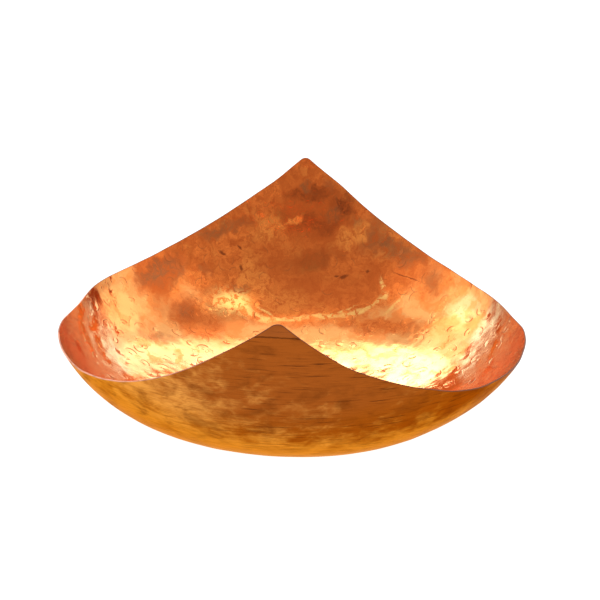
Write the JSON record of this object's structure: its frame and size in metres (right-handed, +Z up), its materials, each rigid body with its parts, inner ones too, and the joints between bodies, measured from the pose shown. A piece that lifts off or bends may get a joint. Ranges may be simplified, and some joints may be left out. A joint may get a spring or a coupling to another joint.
{
  "type": "bowl",
  "caption": "Round hammered copper bowl of plain sheet, with low lobes at the sides and a rim that sweeps up to a tall point at front and back, for fruit or display.",
  "frame": {"origin": "centre of the small flat that the bowl stands on", "axes": "+Z up; the two points of the rim are on the Y axis, the front one at -Y; the two round lobes are on the X axis"},
  "size_m": [0.35, 0.3976, 0.1451],
  "materials": {
    "copper": "hand-hammered copper sheet, polished and flame-coloured inside, golden brown and finely streaked outside"
  },
  "bodies": {
    "root": {"hammered_bowl": "copper"}
  },
  "joints": []
}
